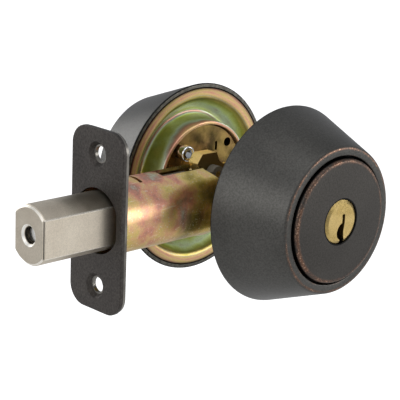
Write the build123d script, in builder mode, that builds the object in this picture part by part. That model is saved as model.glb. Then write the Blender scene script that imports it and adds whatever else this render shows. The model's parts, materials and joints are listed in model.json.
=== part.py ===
"""Double-cylinder tubular deadbolt, modelled thrown, as it sits in a door.

Frame: the origin is where the bolt's axis meets the axis of the cross bore. The bolt throws
towards -X, the exterior cylinder faces -Y, the interior one faces +Y, and +Z is up.
Each cylinder is the same set of pieces, turned half a turn about Z, and its depths are
given as "out": the distance outwards from the door's face, negative inside the door.
"""
from build123d import *
import os
from math import atan2, cos, radians, sin, sqrt

# ---- driving dimensions, in millimetres and degrees ----
BACKSET = 60.325           # door edge to the cross bore's axis
DOOR = 40.0                # door thickness
THROW = 25.4               # bolt travel
CRANK_TURN = 116.0         # key and crank turn, from thrown to withdrawn

# collars
COLLAR_R = 32.0            # at the door
COLLAR_FRONT_R = 23.3
COLLAR_DEPTH = 23.6
COLLAR_WALL = 1.45
COLLAR_FRONT_T = 2.8       # front wall's thickness
COLLAR_BORE_R = 20.4
COLLAR_SHOULDER_R = 1.2
COLLAR_MOUTH_R = 0.5
COLLAR_RIM_CHAMFER = 0.4

# cylinder's face and plug
DISC_R = 19.75
DISC_PROUD = 1.4           # face stands in front of the collar
PLUG_R = 6.35
PLUG_HEAD_R = 7.1
KEYWAY_SLOT = ((1.05, -2.9), (1.5, -0.6), (1.5, 2.4), (0.3, 2.4), (0.3, -0.4))
KEYWAY_SWEEP = ((-1.5, -1.9), (-1.9, -3.7), (-0.7, -5.5))
KEYWAY_MOUTH = ((-0.3, -8.1), (2.2, -8.1), (1.2, -4.9))

# mounting rings; "out" is the distance outwards from the door's face
RING_T = 1.0               # sheet
RING_R = 29.5
RING_FLANGE_IN = 26.3
RING_CHANNEL_R = 21.8
RING_CHANNEL_OUT = 5.0
RING_LIP_R = 19.7
RING_OPENING_R = 18.5
RING_LIP_OUT = -3.8

BACK_OUT = -1.3            # back of the cylinder body
RETAINER_T = 1.2
RETAINER_R = 18.1
RETAINER_SCREW = (11.2, 11.0)
RETAINER_POST_R = 2.3
RETAINER_POST = 2.6
RETAINER_HOLE_R = 1.3
SCREW_HEAD_R = 2.6
SCREW_HEAD_T = 2.6

FLANGE_R = 22.3
FLANGE_OUT = 20.2
FLANGE_T = 2.0
SKIRT_R = 21.2
CORE_R = 9.6
WASHER_BORE_R = 20.6
WASHER_T = 0.35
TOWER_HALF = 4.6
TOWER_TOP = 16.5
COVER_HALF = 3.2
COVER_T = 0.8
CHAMBER_R = 1.55
PIN_R = 1.45
PIN_TIP = 0.5
FIRST_PIN_OUT = 16.2
SHEAR_GAP = 0.25
PLUG_HEAD_T = 2.0
PLUG_REAR = -2.85
PLUG_PROUD = 0.3
CAP_R = 7.7
CAP_REAR = -6.25
CAP_END_T = 1.0
CAP_HOLE_R = 4.3
CAP_ROUND = 0.6
DOG_T = 0.9
DOG_R = 5.6
DOG_IN_R = 2.6
TAIL_DISC_R = 6.0
TAIL_DISC_T = 1.1
TAIL_WIDTH = 6.8
TAIL_T = 2.0
TAIL_END_GAP = 0.2
TAIL_CHAMFER = 0.4
SLOT_CLEAR = 0.25
TAIL_REACH = 0.5           # blade's end from the door's centre plane

# pins and their springs
KEY_PIN_LENGTHS = (2.8, 3.4, 2.6, 3.2, 2.9)
DRIVER_PIN_LENGTH = 4.0
DRIVER_GAP = 0.15          # driver pins rest just above the plug
SPRING_COILS = 6
SPRING_WIRE = 0.25
PIN_COUNT = 5
PIN_PITCH = 3.81

# faceplate and backplate
PLATE_WIDTH = 24.0
PLATE_HEIGHT = 57.15
PLATE_CORNER_R = 6.35
FACEPLATE_T = 1.3
BACKPLATE_T = 1.2
BACKPLATE_INSET = 0.35     # backplate is this much smaller all round
SCREW_SPACING = 41.3
SCREW_HOLE_R = 2.4
SCREW_SINK_R = 4.0
OPENING_HALF = 9.4
OPENING_R = 10.3

# bolt housing
TUBE_R = 11.4
TUBE_WALL = 1.0
CHEEK_Y = 8.4              # outer face of the flattened sides
HOUSING_END = 18.0
TAPER_START = -42.0
TAPER_END = -33.0
SLOT_START = -36.5
SLOT_WIDTH = 6.4
SLIT_X = -46.0
SLIT_WIDTH = 1.3
SLIT_LENGTH = 8.0
OPENING_Z = 10.6            # where the open top starts down from the round tube
OPENING_RUN = 3.6           # length of that slope
UPPER_CROP = 6.0            # length of the cheeks' cropped upper corners
UPPER_CROP_Z = 2.0
LOWER_CROP = 5.0
LOWER_CROP_Z = -6.0
CROP_MARGIN = 1.0           # how far the cropping cuts run past the cheeks' ends
ROUND_END = -19.6
CHEEK_TOP = 7.6
JOURNAL_R = 4.4
BUSH_R = 5.35
SPACER_R = 1.6
SPACER_HEAD = 0.8
SPACER_PLACES = [(-11.0, -5.0), (11.0, -5.0)]

# through-bolts
THROUGH_BOLT_X = 14.0
THROUGH_BOLT_R = 2.0
THROUGH_HEAD_R = 3.75
THROUGH_HEAD_T = 2.2
THROUGH_HEAD_TAPER = 38
THREAD_DEPTH = 14.0

# crank
HUB_R = 7.8
ARM_CORNERS = (             # along the arm, across it
    (5.0, 4.6),
    (13.5, 4.6),
    (16.3, 6.5),
    (21.6, 3.3),
    (21.9, -0.3),
    (15.8, -3.6),
    (12.0, -4.5),
    (5.0, -4.6),
)
CROWN_ROUND = 0.5
NOTCH_R = 1.3
NOTCH_OUT = 0.5             # notches' centres stand this far outside the hub
BUSH_FLANGE = 1.2           # how far the bushes' flanges stand out
BUSH_FLANGE_SHARE = 0.14    # flange's thickness as a share of the cheek's inner distance
BUSH_REACH = 0.1            # how far the bushes reach past the journals
SPRING_HALF = 8.5
SPRING_END_Z = -9.1
SPRING_T = 0.4
SPRING_SET = 0.3            # the strip is this much narrower than the crank on each side
CRANK_NEAR = 0.2
CRANK_FAR = 4.4
JOURNAL_END = 8.9
BAR_NEAR = -3.2            # drive bar's web, beside the crank
BAR_FAR = -0.3
DRIVE_PIN_R = 1.0
DRIVE_PIN_Z = 7.94
PIN_CLEAR = 0.2

# bolt and the bar that draws it
BOLT_R = 9.2
BOLT_HALF = 7.1            # half the width across the flats
BOLT_LENGTH = 40.0
BOLT_TIP_CHAMFER = 0.8
MOUTH_DEPTH = 1.7
MOUTH_BEVEL = 0.7
ROLLER_PLAY = 0.8           # end play of the roller pin in its chamber
ROLLER_BACK = 2.0           # pin's end from the bolt's tip
ROLLER_CHAMFER = 0.5
RIVET_SHORT = 0.6           # rivet's ends lie this far inside the bolt's round
BAR_LOW = 5.0
BAR_TOP = 9.1
FLANGE_LOW = 8.1
FLANGE_HALF = 3.2
FLANGE_REAR = -22.0
EYE_R = 2.6
RIVET_Z = 6.7
RIVET_R = 1.0
ROLLER_R = 2.75
ROLLER_LENGTH = 28.0
MOUTH_R = 2.65

FIT = 0.01                 # radial clearance of pieces that are riveted or pressed together
RUNNING = 0.05             # radial running clearance
GAP = 0.3                  # clearance between pieces that move past each other

SIDES = {"exterior": -1, "interior": 1}


# ---- planes ----
def face_plane(side, out):
    """Plane across a cylinder, looking at its face: x right, y up, normal outwards."""
    return Plane(origin=(0, side * (DOOR / 2 + out), 0), x_dir=(-side, 0, 0), z_dir=(0, side, 0))


def profile_plane(side):
    """Plane through a cylinder's axis: local x is the radius, local y is out."""
    return Plane(origin=(0, side * DOOR / 2, 0), x_dir=(0, 0, 1), z_dir=(-side, 0, 0))


def top_plane(side, height):
    """Level plane above a cylinder: local x is out, from the door's face."""
    return Plane(origin=(0, side * DOOR / 2, height), x_dir=(0, side, 0), z_dir=(0, 0, 1))


def side_view(y):
    """Upright plane along the bolt at the given y; an extrusion goes towards -Y."""
    return Plane.XZ.offset(-y)


def arm_plane(y):
    """Plane of the crank: local x runs out along the arm, extrusion goes towards +Y."""
    return Plane(origin=(0, y, 0), x_dir=(cos(ARM_REST), 0, sin(ARM_REST)), z_dir=(0, 1, 0))


def save(piece, node):
    """Label one finished piece and write its STEP file."""
    piece.label = node
    export_step(piece, f"parts/{node}.step")


# ---- derived dimensions ----
ARM_REST = radians(90 + CRANK_TURN / 2)      # direction of the arm, bolt thrown
FACE_X = -BACKSET                            # front of the faceplate
FACEPLATE_BACK = FACE_X + FACEPLATE_T
BOLT_TIP = FACE_X - THROW
BOLT_REAR = BOLT_TIP + BOLT_LENGTH
DISC_FRONT = COLLAR_DEPTH + DISC_PROUD
TUBE_IN_R = TUBE_R - TUBE_WALL
CHEEK_IN = CHEEK_Y - TUBE_WALL
BAR_FRONT = BOLT_REAR - 8.0
DRIVE_PIN_X = -THROW / 2
RIVET_X = BOLT_REAR - 4.0
SPRING_LOW = PLUG_R + DRIVER_GAP + DRIVER_PIN_LENGTH


# ---- cylinders: one set for each side ----

def make_collar(side):
    """Tapered guard, drawn and turned, loose on the cylinder so that a wrench only spins it."""
    taper = (COLLAR_R - COLLAR_FRONT_R) / COLLAR_DEPTH
    front_wall = COLLAR_DEPTH - COLLAR_FRONT_T
    with BuildPart() as collar:
        with BuildSketch(profile_plane(side)):
            with BuildLine():
                Polyline(
                    (COLLAR_R - COLLAR_WALL, 0),
                    (COLLAR_R, 0),
                    (COLLAR_FRONT_R, COLLAR_DEPTH),
                    (COLLAR_BORE_R, COLLAR_DEPTH),
                    (COLLAR_BORE_R, front_wall),
                    (COLLAR_R - COLLAR_WALL - taper * front_wall, front_wall),
                    close=True,
                )
            make_face()
        revolve(axis=Axis.Y)
        edges = collar.edges().filter_by(GeomType.CIRCLE)
        shoulder = edges.filter_by(lambda edge: abs(edge.radius - COLLAR_FRONT_R) < GAP)
        fillet(shoulder, radius=COLLAR_SHOULDER_R)
        edges = collar.edges().filter_by(GeomType.CIRCLE)
        rim = edges.filter_by(lambda edge: abs(edge.radius - COLLAR_R) < RUNNING)
        chamfer(rim, length=COLLAR_RIM_CHAMFER)
        mouth = collar.edges().filter_by(GeomType.CIRCLE)
        mouth = mouth.filter_by(lambda edge: abs(edge.radius - COLLAR_BORE_R) < RUNNING)
        fillet(mouth.sort_by(Axis.Y)[0 if side < 0 else -1], radius=COLLAR_MOUTH_R)
    return collar.part


def make_mounting_ring(side):
    """Pressed sheet ring that sits in the cross bore: a flange, a dished channel and a boss."""
    slope = 0.4                # the sheet's far face stands off by this at each bend
    boss_draft = 0.9
    lip_round = 0.5
    bend_round = 0.8
    with BuildPart() as ring:
        with BuildSketch(profile_plane(side)):
            with BuildLine():
                Polyline(
                    (RING_R, 0),
                    (RING_FLANGE_IN, 0),
                    (RING_CHANNEL_R, RING_CHANNEL_OUT),
                    (RING_LIP_R + boss_draft, RING_CHANNEL_OUT),
                    (RING_LIP_R, RING_LIP_OUT),
                    (RING_OPENING_R, RING_LIP_OUT),
                    (RING_OPENING_R, RING_CHANNEL_OUT + RING_T),
                    (RING_CHANNEL_R + slope, RING_CHANNEL_OUT + RING_T),
                    (RING_FLANGE_IN + slope, RING_T),
                    (RING_R, RING_T),
                    close=True,
                )
            make_face()
        revolve(axis=Axis.Y)
        rings = ring.edges().filter_by(GeomType.CIRCLE)
        lip = rings.filter_by(lambda edge: abs(edge.radius - RING_LIP_R) < RUNNING)
        fillet(lip, radius=lip_round)
        bend = rings.filter_by(lambda edge: abs(edge.radius - RING_FLANGE_IN) < RUNNING)
        fillet(bend, radius=bend_round)
    return ring.part


def make_cylinder_body(side):
    """Die-cast housing: the face disc, a skirt on the ring, the pin tower and two bolt bosses."""
    skirt_rear = RING_CHANNEL_OUT + RING_T + RUNNING
    flange_rear = FLANGE_OUT - FLANGE_T
    skirt_t = 2.2
    web_t = 2.1
    web_r = RETAINER_R - 0.2
    boss_r = 4.0
    face_round = 1.1
    post_depth = 8.0
    post_places = [(RETAINER_SCREW[0], RETAINER_SCREW[1]), (-RETAINER_SCREW[0], RETAINER_SCREW[1])]
    interior = side > 0
    with BuildPart() as body:
        with BuildSketch(profile_plane(side)):
            with BuildLine():
                Polyline(
                    (0, flange_rear),
                    (SKIRT_R - skirt_t, flange_rear),
                    (SKIRT_R - skirt_t, skirt_rear),
                    (SKIRT_R, skirt_rear),
                    (SKIRT_R, flange_rear),
                    (FLANGE_R, flange_rear),
                    (FLANGE_R, FLANGE_OUT),
                    (DISC_R, FLANGE_OUT),
                    (DISC_R, DISC_FRONT),
                    (0, DISC_FRONT),
                    close=True,
                )
            make_face()
        revolve(axis=Axis.Y)
        rings = body.edges().filter_by(GeomType.CIRCLE)
        rings = rings.filter_by(lambda edge: abs(edge.radius - DISC_R) < RUNNING)
        fillet(rings.sort_by(Axis.Y)[0 if side < 0 else -1], radius=face_round)
        with BuildSketch(face_plane(side, BACK_OUT)):
            Circle(CORE_R)
            with Locations((0, TOWER_TOP / 2)):
                Rectangle(2 * TOWER_HALF, TOWER_TOP)
            with GridLocations(2 * THROUGH_BOLT_X, 0, 2, 1):
                Circle(boss_r)
        extrude(amount=flange_rear - BACK_OUT)
        with BuildSketch(face_plane(side, BACK_OUT)):
            Circle(web_r)
        extrude(amount=web_t)
        with BuildSketch(face_plane(side, BACK_OUT)):
            with Locations(*post_places):
                Circle(RETAINER_POST_R)
        extrude(amount=post_depth)
        # seat for the strip that closes the pin chambers
        with BuildSketch(top_plane(side, TOWER_TOP)):
            with Locations((cover_middle(), 0)):
                Rectangle(cover_length() + 2 * RUNNING, 2 * (COVER_HALF + RUNNING))
        extrude(amount=2 * COVER_T, mode=Mode.SUBTRACT)
        # stepped bore for the plug
        with BuildSketch(face_plane(side, BACK_OUT)):
            Circle(PLUG_R + RUNNING)
        extrude(amount=DISC_FRONT - BACK_OUT, mode=Mode.SUBTRACT)
        with BuildSketch(face_plane(side, DISC_FRONT)):
            Circle(PLUG_HEAD_R + RUNNING)
        extrude(amount=-(PLUG_HEAD_T - PLUG_PROUD + RUNNING), mode=Mode.SUBTRACT)
        # pin chambers, drilled down from the tower's top
        with BuildSketch(top_plane(side, TOWER_TOP)):
            with Locations(*pin_places()):
                Circle(CHAMBER_R)
        extrude(amount=-TOWER_TOP, mode=Mode.SUBTRACT)
        # through-bolts: clearance and countersinks inside, tapped blind holes outside
        if interior:
            with Locations(face_plane(side, DISC_FRONT)):
                with GridLocations(2 * THROUGH_BOLT_X, 0, 2, 1):
                    CounterSinkHole(THROUGH_BOLT_R + GAP, THROUGH_HEAD_R + GAP)
        else:
            with BuildSketch(face_plane(side, BACK_OUT)):
                with GridLocations(2 * THROUGH_BOLT_X, 0, 2, 1):
                    Circle(THROUGH_BOLT_R + RUNNING)
            extrude(amount=THREAD_DEPTH, mode=Mode.SUBTRACT)
        # retainer screw's hole, and the spare one beside it
        with BuildSketch(face_plane(side, BACK_OUT)):
            with Locations(*post_places):
                Circle(RETAINER_HOLE_R)
        extrude(amount=post_depth - RING_T, mode=Mode.SUBTRACT)
    return body.part


def pin_places():
    """Where the pin chambers stand, as (out, x) on the level plane above a cylinder."""
    return [(FIRST_PIN_OUT - index * PIN_PITCH, 0) for index in range(PIN_COUNT)]


def cover_length():
    """Length of the strip over the pin chambers."""
    return (PIN_COUNT - 1) * PIN_PITCH + 2 * CHAMBER_R + COVER_T


def cover_middle():
    """How far out the strip's middle is."""
    return FIRST_PIN_OUT - (PIN_COUNT - 1) * PIN_PITCH / 2


def make_retainer_plate(side):
    """Stamped plate that closes the cylinder's back, with a drawn post for its screw."""
    front = BACK_OUT
    spare_hole_r = 1.5
    slot_place = (-6.0, 10.4)
    with BuildPart() as plate:
        with BuildSketch(face_plane(side, front)):
            Circle(RETAINER_R)
            Circle(CAP_R + GAP, mode=Mode.SUBTRACT)
            with GridLocations(2 * THROUGH_BOLT_X, 0, 2, 1):
                Circle(THROUGH_BOLT_R + GAP, mode=Mode.SUBTRACT)
            with Locations((-RETAINER_SCREW[0], RETAINER_SCREW[1])):
                Circle(spare_hole_r, mode=Mode.SUBTRACT)
            with Locations(slot_place):
                Rectangle(0.9, 3.0, mode=Mode.SUBTRACT)
        extrude(amount=-RETAINER_T)
        with BuildSketch(face_plane(side, front - RETAINER_T)):
            with Locations(RETAINER_SCREW):
                Circle(RETAINER_POST_R)
        extrude(amount=-RETAINER_POST)
        with BuildSketch(face_plane(side, front)):
            with Locations(RETAINER_SCREW):
                Circle(RETAINER_HOLE_R)
        extrude(amount=-(RETAINER_T + RETAINER_POST), mode=Mode.SUBTRACT)
    return plate.part


def make_retainer_screw(side):
    """Small chromed fillister-head screw that holds the retainer plate."""
    seat = BACK_OUT - RETAINER_T - RETAINER_POST
    shank = RETAINER_T + RETAINER_POST + 6.0
    socket_r = 1.5
    socket_depth = 1.4
    head_round = 0.6
    with BuildPart() as screw:
        with BuildSketch(face_plane(side, seat)):
            with Locations(RETAINER_SCREW):
                Circle(RETAINER_HOLE_R - RUNNING)
        extrude(amount=shank)
        with BuildSketch(face_plane(side, seat)):
            with Locations(RETAINER_SCREW):
                Circle(SCREW_HEAD_R)
        extrude(amount=-SCREW_HEAD_T)
        end = screw.faces().sort_by(Axis.Y)[0 if side > 0 else -1]
        fillet(end.edges(), radius=head_round)
        with BuildSketch(face_plane(side, seat - SCREW_HEAD_T)):
            with Locations(RETAINER_SCREW):
                RegularPolygon(radius=socket_r, side_count=6)
        extrude(amount=socket_depth, mode=Mode.SUBTRACT)
    return screw.part


def make_spring_washer(side):
    """Thin washer behind the collar's front wall that keeps the collar from rattling."""
    with BuildPart() as washer:
        with BuildSketch(face_plane(side, FLANGE_OUT + 2 * RUNNING)):
            Circle(FLANGE_R - 2 * RUNNING)
            Circle(WASHER_BORE_R, mode=Mode.SUBTRACT)
        extrude(amount=WASHER_T)
    return washer.part


def make_plug(side):
    """Turned brass plug, broached with its keyway and drilled for the key pins."""
    length = DISC_FRONT + PLUG_PROUD - PLUG_REAR
    face_chamfer = 0.35
    chamber_floor = 1.0        # height of the pin chambers' floor above the axis
    with BuildPart() as plug:
        with BuildSketch(face_plane(side, PLUG_REAR)):
            Circle(PLUG_R)
        extrude(amount=length)
        with BuildSketch(face_plane(side, DISC_FRONT + PLUG_PROUD)):
            Circle(PLUG_HEAD_R)
        extrude(amount=-PLUG_HEAD_T)
        end = plug.faces().sort_by(Axis.Y)[0 if side < 0 else -1]
        chamfer(end.edges(), length=face_chamfer)
        with BuildSketch(face_plane(side, PLUG_REAR)):
            add(dog_outline(degrees_half=25, middle=90))
        extrude(amount=-DOG_T)
        # keyway: a narrow slot above, swept to the left, then open at the bottom
        with BuildSketch(face_plane(side, PLUG_REAR)):
            with BuildLine():
                slot = Polyline(*KEYWAY_SLOT)
                sweep = Spline(slot @ 1, *KEYWAY_SWEEP)
                Polyline(sweep @ 1, *KEYWAY_MOUTH, slot @ 0)
            make_face()
        extrude(amount=length, mode=Mode.SUBTRACT)
        with BuildSketch(top_plane(side, PLUG_R)):
            with Locations(*pin_places()):
                Circle(CHAMBER_R)
        extrude(amount=-(PLUG_R - chamber_floor), mode=Mode.SUBTRACT)
    return plug.part


def dog_outline(degrees_half, middle):
    """Sector between two radii, for the dogs that carry the turn from plug to tailpiece."""
    with BuildSketch() as dog:
        with BuildLine():
            outer = CenterArc((0, 0), DOG_R, middle - degrees_half, 2 * degrees_half)
            inner = CenterArc((0, 0), DOG_IN_R, middle - degrees_half, 2 * degrees_half)
            Line(outer @ 0, inner @ 0)
            Line(outer @ 1, inner @ 1)
        make_face()
    return dog.sketch


def make_plug_cap(side):
    """Cap on the plug's rear end: it keeps the plug in its bore and the tailpiece in place."""
    depth = BACK_OUT - RUNNING - CAP_REAR
    with BuildPart() as cap:
        with BuildSketch(face_plane(side, CAP_REAR)):
            Circle(CAP_R)
        extrude(amount=depth)
        with BuildSketch(face_plane(side, CAP_REAR + CAP_END_T)):
            Circle(PLUG_R + RUNNING)
        extrude(amount=depth - CAP_END_T, mode=Mode.SUBTRACT)
        with BuildSketch(face_plane(side, CAP_REAR)):
            Circle(CAP_HOLE_R)
        extrude(amount=CAP_END_T, mode=Mode.SUBTRACT)
        rear = cap.faces().sort_by(Axis.Y)[0 if side > 0 else -1]
        fillet(rear.edges().sort_by(SortBy.LENGTH)[-1], radius=CAP_ROUND)
    return cap.part


def make_tailpiece(side):
    """Flat blade on a disc; the disc's dog leaves lost motion between plug and blade."""
    disc_rear = CAP_REAR + CAP_END_T + TAIL_END_GAP
    blade = DOOR / 2 + disc_rear - TAIL_REACH
    with BuildPart() as tail:
        with BuildSketch(face_plane(side, disc_rear)):
            Circle(TAIL_DISC_R)
        extrude(amount=TAIL_DISC_T)
        with BuildSketch(face_plane(side, disc_rear + TAIL_DISC_T)):
            add(dog_outline(degrees_half=30, middle=270))
        extrude(amount=DOG_T)
        with BuildSketch(face_plane(side, disc_rear)):
            Rectangle(TAIL_T, TAIL_WIDTH)
        extrude(amount=-blade)
        tip = tail.faces().sort_by(Axis.Y)[-1 if side < 0 else 0]
        chamfer(tip.edges(), length=TAIL_CHAMFER)
    return tail.part


def make_key_pins(side):
    """Five brass key pins, of the lengths that a cut key brings level with the plug."""
    top = PLUG_R - SHEAR_GAP
    with BuildPart() as pins:
        for place, length in zip(pin_places(), KEY_PIN_LENGTHS):
            with BuildSketch(top_plane(side, top)):
                with Locations(place):
                    Circle(PIN_R)
            extrude(amount=-length)
        tips = pins.faces().filter_by(Axis.Z).filter_by(lambda face: face.center().Z < top - PIN_R)
        chamfer(tips.edges(), length=PIN_TIP)
    return pins.part


def make_driver_pins(side):
    """Five driver pins, resting on the shear line."""
    with BuildPart() as pins:
        with BuildSketch(top_plane(side, PLUG_R + DRIVER_GAP)):
            with Locations(*pin_places()):
                Circle(PIN_R)
        extrude(amount=DRIVER_PIN_LENGTH)
    return pins.part


def make_pin_springs(side):
    """Five coil springs above the driver pins, each closed up as a ribbed sleeve."""
    height = TOWER_TOP - SPRING_LOW - RUNNING
    pitch = height / SPRING_COILS
    bore = PIN_R - 2 * SPRING_WIRE
    crest = PIN_R - SPRING_WIRE
    bulge = 0.75 * pitch       # radius of each coil's rounded outline
    with BuildPart() as springs:
        for out, _ in pin_places():
            y = side * (DOOR / 2 + out)
            plane = Plane(origin=(0, y, SPRING_LOW), x_dir=(1, 0, 0), z_dir=(0, -1, 0))
            with BuildSketch(plane):
                with BuildLine():
                    Line((bore, height), (bore, 0))
                    Line((bore, 0), (crest, 0))
                    for coil in range(SPRING_COILS):
                        low = coil * pitch
                        RadiusArc((crest, low), (crest, low + pitch), -bulge)
                    Line((crest, height), (bore, height))
                make_face()
            revolve(axis=Axis((0, y, 0), (0, 0, 1)))
    return springs.part


def make_spring_cover(side):
    """Strip that closes the tops of the pin chambers."""
    with BuildPart() as cover:
        with BuildSketch(top_plane(side, TOWER_TOP)):
            with Locations((cover_middle(), 0)):
                Rectangle(cover_length(), 2 * COVER_HALF)
        extrude(amount=COVER_T)
        fillet(cover.edges().filter_by(Axis.Z), radius=COVER_T)
    return cover.part


MAKERS = {
    "collar": make_collar,
    "mounting_ring": make_mounting_ring,
    "cylinder_body": make_cylinder_body,
    "retainer_plate": make_retainer_plate,
    "retainer_screw": make_retainer_screw,
    "spring_washer": make_spring_washer,
    "plug": make_plug,
    "plug_cap": make_plug_cap,
    "tailpiece": make_tailpiece,
    "key_pins": make_key_pins,
    "driver_pins": make_driver_pins,
    "pin_springs": make_pin_springs,
    "spring_cover": make_spring_cover,
}

os.makedirs("parts", exist_ok=True)
for side_name, side in SIDES.items():
    for piece_name, maker in MAKERS.items():
        save(maker(side), f"{side_name}_{piece_name}")

# two long machine screws from the interior face into the exterior body
head_out = DOOR / 2 + DISC_FRONT - 2 * RUNNING
shank_end = DOOR / 2 + BACK_OUT + THREAD_DEPTH - THROUGH_BOLT_R
drive_length = 3.6
drive_width = 0.9
drive_depth = 1.3
with BuildPart() as mounting_screws:
    with BuildSketch(side_view(head_out)):
        with GridLocations(2 * THROUGH_BOLT_X, 0, 2, 1):
            Circle(THROUGH_BOLT_R)
    extrude(amount=head_out + shank_end)
    with BuildSketch(side_view(head_out)):
        with GridLocations(2 * THROUGH_BOLT_X, 0, 2, 1):
            Circle(THROUGH_HEAD_R)
    extrude(amount=THROUGH_HEAD_T, taper=THROUGH_HEAD_TAPER)
    with BuildSketch(side_view(head_out)):
        with GridLocations(2 * THROUGH_BOLT_X, 0, 2, 1):
            Rectangle(drive_length, drive_width)
            Rectangle(drive_width, drive_length)
    extrude(amount=drive_depth, mode=Mode.SUBTRACT)
save(mounting_screws.part, "mounting_screws")

# ---- faceplate and backplate, on the door's edge ----
edge_plane = Plane(origin=(FACE_X, 0, 0), x_dir=(0, -1, 0), z_dir=(-1, 0, 0))
back_plane = Plane(origin=(FACEPLATE_BACK, 0, 0), x_dir=(0, -1, 0), z_dir=(-1, 0, 0))

with BuildPart() as faceplate:
    with BuildSketch(edge_plane):
        RectangleRounded(PLATE_WIDTH, PLATE_HEIGHT, PLATE_CORNER_R)
        with BuildSketch(mode=Mode.PRIVATE) as opening:
            Circle(OPENING_R)
            Rectangle(2 * OPENING_HALF, 2 * OPENING_R, mode=Mode.INTERSECT)
        add(opening.sketch, mode=Mode.SUBTRACT)
    extrude(amount=-FACEPLATE_T)
    with Locations(edge_plane):
        with GridLocations(0, SCREW_SPACING, 1, 2):
            CounterSinkHole(SCREW_HOLE_R, SCREW_SINK_R)
    outline = faceplate.faces().sort_by(Axis.X)[0].outer_wire()
    fillet(outline.edges(), radius=BACKPLATE_INSET)
save(faceplate.part, "faceplate")

with BuildPart() as backplate:
    with BuildSketch(back_plane):
        RectangleRounded(PLATE_WIDTH - 2 * BACKPLATE_INSET, PLATE_HEIGHT - 2 * BACKPLATE_INSET,
                         PLATE_CORNER_R - BACKPLATE_INSET)
        Circle(TUBE_R + RUNNING, mode=Mode.SUBTRACT)
        with GridLocations(0, SCREW_SPACING, 1, 2):
            Circle(SCREW_HOLE_R, mode=Mode.SUBTRACT)
    extrude(amount=-BACKPLATE_T)
save(backplate.part, "backplate")

# ---- bolt housing: a tube whose sides are pressed flat behind, where they carry the crank ----


def housing_form(radius, flat):
    """Solid bar of the tube's form: round in front, flat-sided behind a short taper."""
    with BuildPart() as form:
        with BuildSketch(Plane.YZ.offset(FACEPLATE_BACK)):
            Circle(radius)
        extrude(amount=HOUSING_END - FACEPLATE_BACK)
        for way in (-1, 1):
            with BuildSketch(Plane.XY.offset(-2 * radius)):
                with BuildLine():
                    Polyline(
                        (TAPER_START, way * radius),
                        (TAPER_END, way * flat),
                        (HOUSING_END + 1, way * flat),
                        (HOUSING_END + 1, way * 2 * radius),
                        (TAPER_START, way * 2 * radius),
                        close=True,
                    )
                make_face()
            extrude(amount=4 * radius, mode=Mode.SUBTRACT)
    return form.part


tube_outside = housing_form(TUBE_R, CHEEK_Y)
tube_inside = housing_form(TUBE_IN_R, CHEEK_IN)
with BuildPart() as bolt_housing:
    add(tube_outside)
    add(tube_inside, mode=Mode.SUBTRACT)
    # the top is open from the end of the round tube, and the cheeks' corners are cropped
    with BuildSketch(side_view(2 * TUBE_R)):
        with BuildLine():
            Polyline(
                (ROUND_END, 2 * TUBE_R),
                (ROUND_END, OPENING_Z),
                (ROUND_END + OPENING_RUN, CHEEK_TOP),
                (HOUSING_END - UPPER_CROP, CHEEK_TOP),
                (HOUSING_END, UPPER_CROP_Z),
                (HOUSING_END + CROP_MARGIN, UPPER_CROP_Z),
                (HOUSING_END + CROP_MARGIN, 2 * TUBE_R),
                close=True,
            )
        make_face()
        with BuildLine():
            Polyline(
                (HOUSING_END - LOWER_CROP, -2 * TUBE_R),
                (HOUSING_END - LOWER_CROP, -TUBE_R),
                (HOUSING_END, LOWER_CROP_Z),
                (HOUSING_END + CROP_MARGIN, LOWER_CROP_Z),
                (HOUSING_END + CROP_MARGIN, -2 * TUBE_R),
                close=True,
            )
        make_face()
    extrude(amount=4 * TUBE_R, mode=Mode.SUBTRACT)
    # slot over the drive bar, and the staking slit behind the plates
    with BuildSketch(Plane.XY.offset(CHEEK_TOP)):
        with Locations(((SLOT_START + ROUND_END) / 2 + CROP_MARGIN, 0)):
            Rectangle(ROUND_END - SLOT_START + 2 * CROP_MARGIN, SLOT_WIDTH)
        with Locations((SLIT_X, 0)):
            Rectangle(SLIT_WIDTH, SLIT_LENGTH)
    extrude(amount=TUBE_R, mode=Mode.SUBTRACT)
    # holes across: bushes, through-bolts and spacers
    with BuildSketch(side_view(2 * TUBE_R)):
        Circle(BUSH_R + RUNNING)
        with GridLocations(2 * THROUGH_BOLT_X, 0, 2, 1):
            Circle(THROUGH_BOLT_R + 2 * GAP)
        with Locations(*SPACER_PLACES):
            Circle(SPACER_R + FIT)
    extrude(amount=4 * TUBE_R, mode=Mode.SUBTRACT)
save(bolt_housing.part, "bolt_housing")

with BuildPart() as housing_spacers:
    with BuildSketch(side_view(CHEEK_Y)):
        with Locations(*SPACER_PLACES):
            Circle(SPACER_R)
    extrude(amount=2 * CHEEK_Y)
    for y in (CHEEK_Y + SPACER_HEAD, -CHEEK_Y):
        with BuildSketch(side_view(y)):
            with Locations(*SPACER_PLACES):
                Circle(SPACER_R + SPACER_HEAD)
        extrude(amount=SPACER_HEAD)
save(housing_spacers.part, "housing_spacers")

# ---- crank, its bushes and its detent spring ----


def drive_pin_from_arm(turn):
    """Drive pin's place in the crank's own frame, as (along the arm, across it), after a turn."""
    x = THROW * (turn / CRANK_TURN - 0.5)
    distance = sqrt(x * x + DRIVE_PIN_Z * DRIVE_PIN_Z)
    angle = ARM_REST - radians(turn) - atan2(DRIVE_PIN_Z, x)
    return (distance * cos(angle), distance * sin(angle))


pin_path = [drive_pin_from_arm(CRANK_TURN * step / 12) for step in range(12)]

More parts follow.
